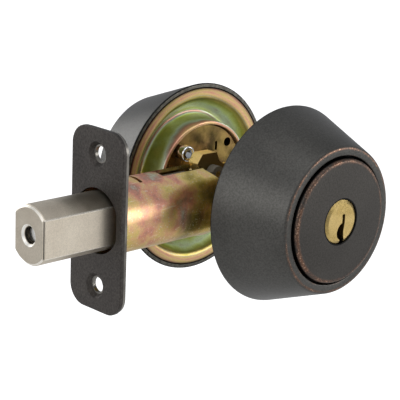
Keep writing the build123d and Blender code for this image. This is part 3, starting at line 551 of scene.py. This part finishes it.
# painted highlight round the rim of the end, between the flats
end_rim_highlight = reckon(tree, "MULTIPLY", at_end, reckon(tree, "GREATER_THAN", from_middle, 0.00845))
end_rim_highlight = reckon(tree, "MULTIPLY", end_rim_highlight, reckon(tree, "LESS_THAN", out_of_flat, 0.0064))
colour = blend_colours(tree, end_rim_highlight, colour, (0.84, 0.80, 0.72))
rough_value = reckon(tree, "MULTIPLY_ADD", surface["Patches"], 0.16, 0.37)
lay_on(tree, shader, colour, rough_value, surface["Height"], 0.06, 0.4)
finished_copy("bolt", satin_nickel, 0.18)

ground_steel = plain_metal("ground_steel", (0.55, 0.54, 0.53), (0.70, 0.69, 0.67), 4.0, 0.22)
finished_copy("bolt_roller_pin", ground_steel, 0.1)
finished_copy("bolt_rivet", ground_steel)


# ---- Drive bar and crank ----
# A black phosphated bar runs from the bolt to the crank; the crank is a chromated steel stamping
# that the tailpieces turn in brass bushes, with a spring strip that clicks at each end.
black_steel, tree, shader = new_finish("black_steel", Metallic=0.3)
surface = effect(tree, metal_grain, Grain_Size=0.35, Patch_Size=4.0)
colour = ramp(tree, surface["Grain"], ((0.3, (0.13, 0.116, 0.090)), (0.7, (0.19, 0.17, 0.13))))
tree.links.new(colour, shader.inputs["Base Color"])
tree.links.new(reckon(tree, "MULTIPLY_ADD", surface["Patches"], 0.2, 0.38), shader.inputs["Roughness"])
finished_copy("drive_bar", black_steel, 0.1)
finished_copy("drive_pin", ground_steel)


def lit_top_and_shaded_sides(tree, colour):
    """Paints the top of the stamping brighter as painted light, and its sheared sides darker as painted
    shade.
    """
    side = reckon(tree, "ABSOLUTE", own_axes(tree, "Normal")["Y"])
    return shaded(tree, colour, ramp(tree, side, ((0.30, (1.45, 1.38, 1.20)), (0.75, (0.26, 0.23, 0.17)))))


crank_chromate = chromate_finish("crank_chromate", 0.31, 0.15, 6.0, 0.30, lit_top_and_shaded_sides, metallic=0.6)
finished_copy("crank", crank_chromate, 0.2)
finished_copy("housing_spacers", black_steel, 0.1)

spring_strip = plain_metal("spring_strip", (0.40, 0.40, 0.42), (0.52, 0.51, 0.50), 4.0, 0.25)
finished_copy("detent_spring", spring_strip)


# ---- Mounting rings ----
# Pressed chromate rings that centre each cylinder in the door's cross bore. They are drawn in
# one hit, so that the film runs in circles: pink flange, green bend, pale cone, gold boss.
DOOR = 0.040
# radius from the cylinders' axis and distance out from the door, in mm, and the angle round the axis
AXIS_MEASURES, given = new_effect("axis_measures", {}, {
    "Radius": "NodeSocketFloat", "Out": "NodeSocketFloat", "Angle": "NodeSocketFloat"})
spot = own_axes(AXIS_MEASURES)
squares = reckon(AXIS_MEASURES, "ADD", reckon(AXIS_MEASURES, "MULTIPLY", spot["X"], spot["X"]),
                 reckon(AXIS_MEASURES, "MULTIPLY", spot["Z"], spot["Z"]))
radius_mm = reckon(AXIS_MEASURES, "MULTIPLY", reckon(AXIS_MEASURES, "SQRT", squares), 1000.0)
out_mm = reckon(AXIS_MEASURES, "MULTIPLY_ADD",
                reckon(AXIS_MEASURES, "ABSOLUTE", spot["Y"]), 1000.0, -1000.0 * DOOR / 2)
place(AXIS_MEASURES, "NodeGroupOutput", {
    "Radius": radius_mm, "Out": out_mm, "Angle": reckon(AXIS_MEASURES, "ARCTAN2", spot["Z"], spot["X"])})

# a lathe: the outline, drawn as radius and distance out from the door, is swept round the axis
SWING = 0.02
turned_form = bpy.data.node_groups.new("turned_form", "GeometryNodeTree")
for label, kind in (("Outline", "Geometry"), ("Segments", "Int"), ("Swing", "Float"), ("Facing", "Vector"),
                    ("Door Face", "Vector"), ("Crease", "Float"), ("Finish", "Material")):
    turned_form.interface.new_socket(name=label, in_out="INPUT", socket_type="NodeSocket" + kind)
turned_form.interface.new_socket(name="Form", in_out="OUTPUT", socket_type="NodeSocketGeometry")
given = place(turned_form, "NodeGroupInput").outputs
outline = place(turned_form, "GeometryNodeMeshToCurve", {"Mesh": given["Outline"]})
lap = place(turned_form, "GeometryNodeCurvePrimitiveCircle",
            {"Resolution": given["Segments"], "Radius": given["Swing"]})
lap = place(turned_form, "GeometryNodeSetCurveNormal", {"Curve": lap.outputs["Curve"]}, mode="Z_UP")
swept = place(turned_form, "GeometryNodeCurveToMesh",
              {"Curve": lap.outputs["Curve"], "Profile Curve": outline.outputs["Curve"]})
turned = place(turned_form, "GeometryNodeTransform", {
    "Geometry": swept.outputs["Mesh"], "Translation": given["Door Face"], "Rotation": given["Facing"]})
bend = place(turned_form, "GeometryNodeInputMeshEdgeAngle").outputs["Unsigned Angle"]
soft = reckon(turned_form, "LESS_THAN", bend, given["Crease"])
smooth = place(turned_form, "GeometryNodeSetShadeSmooth",
               {"Geometry": turned.outputs["Geometry"], "Shade Smooth": True}, domain="FACE")
creased = place(turned_form, "GeometryNodeSetShadeSmooth",
                {"Geometry": smooth.outputs["Geometry"], "Shade Smooth": soft}, domain="EDGE")
solid = place(turned_form, "GeometryNodeRealizeInstances", {"Geometry": creased.outputs["Geometry"]})
finished = place(turned_form, "GeometryNodeSetMaterial",
                 {"Geometry": solid.outputs["Geometry"], "Material": given["Finish"]})
place(turned_form, "NodeGroupOutput", {"Form": finished.outputs["Geometry"]})


def eased(corners, steps=5):
    """Outline through (radius, out, rounding) corners in mm, each corner rounded by its own radius."""
    points = []
    for index, (x, y, rounding) in enumerate(corners):
        before, after = Vector(corners[index - 1][:2]), Vector(corners[(index + 1) % len(corners)][:2])
        here = Vector((x, y))
        if not rounding:
            points.append(here)
            continue
        to_before, to_after = (before - here).normalized(), (after - here).normalized()
        half = to_before.angle(to_after) / 2
        reach = rounding / tan(half)
        centre = here + (to_before + to_after).normalized() * (rounding / sin(half))
        start, end = here + to_before * reach, here + to_after * reach
        for step in range(steps + 1):
            arm = (start - centre).lerp(end - centre, step / steps)
            points.append(centre + arm.normalized() * rounding)
    return points


def run_nodes(name, mesh, tree, settings):
    """Runs a Geometry Nodes tree over a mesh and keeps the plain result as a new object."""
    source = bpy.data.objects.new(name + "_source", mesh)
    bpy.context.scene.collection.objects.link(source)
    modifier = source.modifiers.new("nodes", "NODES")
    modifier.node_group = tree
    for item in tree.interface.items_tree:
        if item.in_out == "INPUT" and item.name in settings:
            modifier[item.identifier] = settings[item.name]
    shaped = source.evaluated_get(bpy.context.evaluated_depsgraph_get())
    result = bpy.data.meshes.new_from_object(shaped)
    bpy.data.objects.remove(source)
    result.name = name
    piece = bpy.data.objects.new(name, result)
    bpy.context.scene.collection.objects.link(piece)
    return piece


def turn_piece(name, corners, side, finish, segments=256):
    """Turns a closed outline about the cylinders' axis, on one side of the door."""
    points = eased(corners)
    mesh = bpy.data.meshes.new(name + "_outline")
    mesh.from_pydata([(p.x / 1000 - SWING, p.y / 1000, 0) for p in points],
                     [(i, (i + 1) % len(points)) for i in range(len(points))], [])
    piece = run_nodes(name, mesh, turned_form, {
        "Segments": segments, "Swing": SWING, "Facing": (side * pi / 2, 0, 0),
        "Door Face": (0, side * DOOR / 2, 0), "Crease": radians(28), "Finish": finish})
    form = bmesh.new()
    form.from_mesh(piece.data)
    if form.calc_volume(signed=True) < 0:
        bmesh.ops.reverse_faces(form, faces=form.faces)
        form.to_mesh(piece.data)
    form.free()
    return piece


def ring_film(tree):
    """Film thickness by radius: it thins and thickens with each bend of the pressing."""
    measures = effect(tree, AXIS_MEASURES)
    drift = reckon(tree, "SUBTRACT", speckle(tree, 18.0, detail=1.0), 0.5)
    sway = reckon(tree, "SINE", reckon(tree, "MULTIPLY_ADD", measures["Angle"], 2.0, 0.6))
    drift = reckon(tree, "MULTIPLY_ADD", sway, 0.18, drift)
    radius = reckon(tree, "MULTIPLY_ADD", drift, 2.0, measures["Radius"])
    share = between(tree, radius, 18.0, 30.0)
    return ramp(tree, share, (
        (0.00, 0.36), (0.10, 0.42), (0.16, 0.84), (0.22, 0.86), (0.27, 0.58), (0.31, 0.56), (0.36, 0.80),
        (0.44, 0.72), (0.52, 0.68), (0.60, 0.80), (0.70, 0.93), (0.77, 0.98), (0.80, 0.26), (0.87, 0.44),
        (0.94, 0.30), (1.00, 0.42)))


def ring_painted_light_and_shade(tree, colour):
    """Painted light and shade by radius: lighter on the boss, the cone and the flange; painted shade in the
    folds at the boss and at the flange's bend, and towards the flange's outer edge.
    """
    measures = effect(tree, AXIS_MEASURES)
    shade = ramp(tree, reckon(tree, "MULTIPLY_ADD", measures["Radius"], 1 / 12, -1.5), (
        (0.00, 1.1), (0.13, 1.4), (0.17, 0.70), (0.23, 1.0), (0.28, 0.85), (0.37, 1.35), (0.55, 1.55),
        (0.66, 1.15), (0.71, 0.55), (0.79, 1.30), (0.95, 0.95), (1.00, 0.28)))
    return shaded(tree, colour, shade)


ring_chromate = chromate_finish("ring_chromate", ring_film, 0.30, 6.0, 0.34, ring_painted_light_and_shade, metallic=0.72)
SIDES = {"exterior": -1, "interior": 1}
ring_corners = (
    (30.1, 0.0, 0.0), (27.0, 0.0, 2.4), (22.4, 5.0, 1.5), (20.7, 5.0, 1.4), (19.7, -3.8, 0.45),
    (18.5, -3.8, 0.3), (18.5, 6.0, 0.0), (22.9, 6.0, 0.4), (27.4, 1.0, 0.4), (30.0, 1.0, 0.0))
for side_name, side in SIDES.items():
    fit(turn_piece(side_name + "_mounting_ring_piece", ring_corners, side, ring_chromate),
        side_name + "_mounting_ring")


# ---- Cylinder bodies ----
# Die-cast housings in dark bronze. Only the face shows, proud of the collar; its rounded edge is
# rubbed through to copper. The pin tower stands behind it, closed by a steel strip.

# wear that is full on an edge and fades out at its reach, broken up by grit
worn_band, given = new_effect(
    "worn_band", {"Distance": 0.0, "Reach": 0.5, "Fullness": 0.5}, {"Wear": "NodeSocketFloat"})
away = reckon(worn_band, "DIVIDE", reckon(worn_band, "ABSOLUTE", given["Distance"]), given["Reach"])
near = reckon(worn_band, "SUBTRACT", 1.0, away, clamp=True)
coarse = speckle(worn_band, 5.0, detail=3.0, shift=0.7)
specks = speckle(worn_band, 0.45, detail=2.0, roughness=0.6)
grit = reckon(worn_band, "MULTIPLY_ADD", coarse, 0.9, reckon(worn_band, "MULTIPLY", specks, 0.5))
grit = reckon(worn_band, "MULTIPLY_ADD", grit, 0.9, given["Fullness"])
bare = reckon(worn_band, "MULTIPLY_ADD", grit, 4.0, -3.6, clamp=True)
place(worn_band, "NodeGroupOutput", {"Wear": reckon(worn_band, "MULTIPLY", near, bare)})

COPPER = (0.165, 0.086, 0.055)


def bronze_finish(name, dark, light, bands, rough, trim):
    """Dark rubbed bronze; bands lists (measure, place, reach, fullness) of edges worn to copper."""
    finish, tree, shader = new_finish(name, Metallic=0.9)
    surface = effect(tree, metal_grain, Grain_Size=0.60, Patch_Size=16.0)
    measures = effect(tree, AXIS_MEASURES)
    colour = ramp(tree, surface["Patches"], ((0.3, dark), (0.7, light)))
    colour = shaded(tree, colour, ramp(tree, surface["Grain"], ((0.38, 0.70), (0.62, 1.0))))
    total = 0.0
    for measure, centre, reach, fullness in bands:
        distance = reckon(tree, "SUBTRACT", measures[measure], centre)
        worn = effect(tree, worn_band, Distance=distance, Reach=reach, Fullness=fullness)["Wear"]
        total = reckon(tree, "MAXIMUM", total, worn)
    colour = blend_colours(tree, total, colour, COPPER)
    glints = reckon(tree, "MULTIPLY_ADD", speckle(tree, 0.5, detail=1.0, shift=0.5), 8.0, -4.4, clamp=True)
    colour = blend_colours(tree, reckon(tree, "MULTIPLY", total, glints), colour, (0.50, 0.32, 0.22))
    colour = trim(tree, measures, colour)
    rough_value = reckon(tree, "MULTIPLY_ADD", surface["Patches"], 0.12, rough - 0.06)
    rough_value = reckon(tree, "MULTIPLY_ADD", total, 0.36 - rough, rough_value)
    lay_on(tree, shader, colour, rough_value, surface["Height"], 0.07, 0.45)
    return finish


def groove_and_gap_shade(tree, measures, colour):
    """Paints shade near black in the groove beside the face and in the gap round the plug."""
    painted_shade_black = (0.006, 0.006, 0.006)
    colour = blend_colours(tree, between(tree, measures["Out"], 24.3, 23.7), colour, painted_shade_black)
    return blend_colours(tree, reckon(tree, "LESS_THAN", measures["Radius"], 7.55), colour, painted_shade_black)


face_bronze = bronze_finish(
    "face_bronze", (0.060, 0.0555, 0.0505), (0.074, 0.0685, 0.062), (("Radius", 19.15, 0.90, 0.44),), 0.46,
    trim=groove_and_gap_shade)
for side_name in SIDES:
    finished_copy(side_name + "_cylinder_body", face_bronze)

strip_steel = plain_metal("strip_steel", (0.45, 0.45, 0.44), (0.58, 0.57, 0.55), 5.0, 0.35)
for side_name in SIDES:
    finished_copy(side_name + "_spring_cover", strip_steel, 0.1)


# ---- Retainer plates and their screws ----
# A chromated plate closes the back of each cylinder; one bright fillister screw on a drawn post
# holds it, beside a spare hole and a slot.


def dull_patches(tree, colour):
    """Plating that barely took inside the cup: brown-black patches over dull gold."""
    patches = speckle(tree, 6.0, detail=4.0, shift=0.4)
    shade = ramp(tree, patches, ((0.42, (0.15, 0.14, 0.13)), (0.64, (0.56, 0.50, 0.45))))
    return shaded(tree, colour, shade)


plate_chromate = chromate_finish("plate_chromate", 0.30, 0.30, 7.0, rough=0.32, tint=dull_patches)
bright_chrome = plain_metal("bright_chrome", (0.66, 0.68, 0.70), (0.80, 0.81, 0.82), 3.0, 0.12)
for side_name in SIDES:
    finished_copy(side_name + "_retainer_plate", plate_chromate, 0.1)
    finished_copy(side_name + "_retainer_screw", bright_chrome, 0.08)


# ---- Key plugs and pins ----
# Turned brass plugs, broached with a curved keyway, with the pins, springs and caps that hold
# them, and the flat steel tailpieces that they turn.
turned_brass, tree, shader = new_finish("turned_brass", Metallic=1.0)
surface = effect(tree, metal_grain, Grain_Size=0.25, Patch_Size=3.0)
measures = effect(tree, AXIS_MEASURES)
tool_marks = reckon(tree, "SINE", reckon(tree, "MULTIPLY", measures["Radius"], 2 * pi / 0.12))
colour = ramp(tree, surface["Patches"], ((0.25, (0.52, 0.37, 0.125)), (0.75, (0.70, 0.52, 0.215))))
colour = shaded(tree, colour, ramp(tree, surface["Grain"], ((0.38, 0.72), (0.62, 1.05))))
# painted highlight and shade round the plugs' bevel, by angle round the axis
on_bevel = reckon(tree, "GREATER_THAN", measures["Radius"], 5.95)
bevel_light_and_shade = ramp(tree, reckon(tree, "MULTIPLY_ADD", reckon(tree, "COSINE", measures["Angle"]), 0.5, 0.5), (
    (0.0, 0.72), (0.18, 1.25), (0.45, 0.62), (1.0, 0.95)))
colour = blend_colours(tree, on_bevel, colour, shaded(tree, colour, bevel_light_and_shade))
rough_value = reckon(tree, "MULTIPLY_ADD", surface["Patches"], 0.15, 0.22)
height = reckon(tree, "MULTIPLY_ADD", tool_marks, 0.2, surface["Height"])
lay_on(tree, shader, colour, rough_value, height, 0.04, 0.3)
finished_copy("crank_bushes", turned_brass)
# each plug's front edge is bevelled: its rim goes in to face_radius and back by bevel_depth
face_radius, bevel_depth = 0.0059, 0.0007
for side_name in SIDES:
    plug = finished_copy(side_name + "_plug", turned_brass, 0.05)
    front = max(abs(corner.y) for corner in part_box(side_name + "_plug"))
    for vertex in plug.data.vertices:
        radius = Vector((vertex.co.x, vertex.co.z)).length
        if radius < 0.0062:
            continue
        if abs(vertex.co.y) > front - 1e-5:
            vertex.co.x *= face_radius / radius
            vertex.co.z *= face_radius / radius
        elif abs(vertex.co.y) > front - bevel_depth:
            vertex.co.y = (front - bevel_depth) * (1 if vertex.co.y > 0 else -1)
    finished_copy(side_name + "_plug_cap", turned_brass, 0.08)
    finished_copy(side_name + "_key_pins", turned_brass)
    finished_copy(side_name + "_driver_pins", turned_brass)
    finished_copy(side_name + "_tailpiece", strip_steel, 0.1)

# coil springs over the driver pins: wire wound round each pin's axis
coil_rows = bpy.data.node_groups.new("coil_rows", "GeometryNodeTree")
for label, kind in (("Seats", "Geometry"), ("Turns", "Float"), ("Coil Radius", "Float"),
                    ("Height", "Float"), ("Wire Radius", "Float"), ("Finish", "Material")):
    coil_rows.interface.new_socket(name=label, in_out="INPUT", socket_type="NodeSocket" + kind)
coil_rows.interface.new_socket(name="Coils", in_out="OUTPUT", socket_type="NodeSocketGeometry")
given = place(coil_rows, "NodeGroupInput").outputs
coil = place(coil_rows, "GeometryNodeCurveSpiral", {
    "Resolution": 20, "Rotations": given["Turns"], "Start Radius": given["Coil Radius"],
    "End Radius": given["Coil Radius"], "Height": given["Height"]})
wire = place(coil_rows, "GeometryNodeCurvePrimitiveCircle", {
    "Resolution": 8, "Radius": given["Wire Radius"]})
wound = place(coil_rows, "GeometryNodeCurveToMesh", {
    "Curve": coil.outputs["Curve"], "Profile Curve": wire.outputs["Curve"], "Fill Caps": True})
rows = place(coil_rows, "GeometryNodeInstanceOnPoints",
             {"Points": given["Seats"], "Instance": wound.outputs["Mesh"]})
solid = place(coil_rows, "GeometryNodeRealizeInstances", {"Geometry": rows.outputs["Instances"]})
smooth = place(coil_rows, "GeometryNodeSetShadeSmooth", {"Geometry": solid.outputs["Geometry"]})
finished = place(coil_rows, "GeometryNodeSetMaterial",
                 {"Geometry": smooth.outputs["Geometry"], "Material": given["Finish"]})
place(coil_rows, "NodeGroupOutput", {"Coils": finished.outputs["Geometry"]})
wire_radius, coils = 0.00018, 5
for side_name in SIDES:
    low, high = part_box(side_name + "_pin_springs")
    coil_radius = (high.x - low.x) / 2 - wire_radius
    first_y = low.y + coil_radius + wire_radius
    pitch = (high.y - low.y - 2 * (coil_radius + wire_radius)) / (coils - 1)
    seats = bpy.data.meshes.new("spring_seats")
    seats.from_pydata([(0, first_y + pitch * index, low.z + wire_radius) for index in range(coils)], [], [])
    springs = run_nodes(side_name + "_pin_springs_piece", seats, coil_rows, {
        "Turns": 6.0, "Coil Radius": coil_radius, "Height": high.z - low.z - 2 * wire_radius,
        "Wire Radius": wire_radius, "Finish": spring_strip})
    fit(springs, side_name + "_pin_springs")


# ---- Collars ----
# Heavy tapered guards, turned and loose on the cylinder, in dark rubbed bronze that wears to
# copper round the front shoulder; a thin spring washer keeps each one from rattling.


def painted_rim_light_and_shade(tree, measures, colour):
    """The door-side rim is painted a lighter grey where it catches the light, inside a black edge of
    painted shade; the groove's wall is painted black as shade.
    """
    # painted light: the door-side rim made a lighter grey
    at_door = reckon(tree, "LESS_THAN", measures["Out"], 0.02)
    inside = reckon(tree, "LESS_THAN", measures["Radius"], 31.5)
    grey = ramp(tree, speckle(tree, 1.2, detail=3.0), (
        (0.35, (0.062, 0.059, 0.050)), (0.65, (0.135, 0.128, 0.110))))
    colour = blend_colours(tree, reckon(tree, "MULTIPLY", at_door, inside), colour, grey)
    # painted shade: a black line round the rim's outer edge
    edge = reckon(tree, "MULTIPLY", reckon(tree, "LESS_THAN", measures["Out"], 0.45),
                  reckon(tree, "GREATER_THAN", measures["Radius"], 31.51))
    colour = blend_colours(tree, edge, colour, (0.010, 0.010, 0.009))
    # painted shade: the groove's wall near black
    groove = reckon(tree, "MULTIPLY", reckon(tree, "LESS_THAN", measures["Radius"], 20.43),
                    reckon(tree, "LESS_THAN", measures["Out"], 23.3))
    return blend_colours(tree, groove, colour, (0.005, 0.005, 0.005))


collar_bronze = bronze_finish(
    "collar_bronze", (0.080, 0.078, 0.072), (0.102, 0.099, 0.092),
    (("Radius", 22.75, 0.50, 0.42), ("Radius", 20.7, 0.25, 0.24)), 0.44,
    trim=painted_rim_light_and_shade)
collar_corners = (
    (30.55, 0.0, 0.0), (32.0, 0.0, 0.4), (23.3, 23.6, 1.2), (20.4, 23.6, 0.45), (20.4, 20.8, 0.0),
    (22.88, 20.8, 0.0))
for side_name, side in SIDES.items():
    fit(turn_piece(side_name + "_collar_piece", collar_corners, side, collar_bronze),
        side_name + "_collar")
    finished_copy(side_name + "_spring_washer", spring_strip)


# ---- Mounting screws ----
# Two long machine screws with dark countersunk heads, put in from the interior face.
dark_steel, tree, shader = new_finish("dark_steel", Metallic=0.9)
patches = effect(tree, metal_grain, Patch_Size=3.0)["Patches"]
colour = ramp(tree, patches, ((0.3, (0.085, 0.078, 0.072)), (0.7, (0.13, 0.12, 0.11))))
tree.links.new(colour, shader.inputs["Base Color"])
tree.links.new(reckon(tree, "MULTIPLY_ADD", patches, 0.2, 0.28), shader.inputs["Roughness"])
finished_copy("mounting_screws", dark_steel, 0.06)
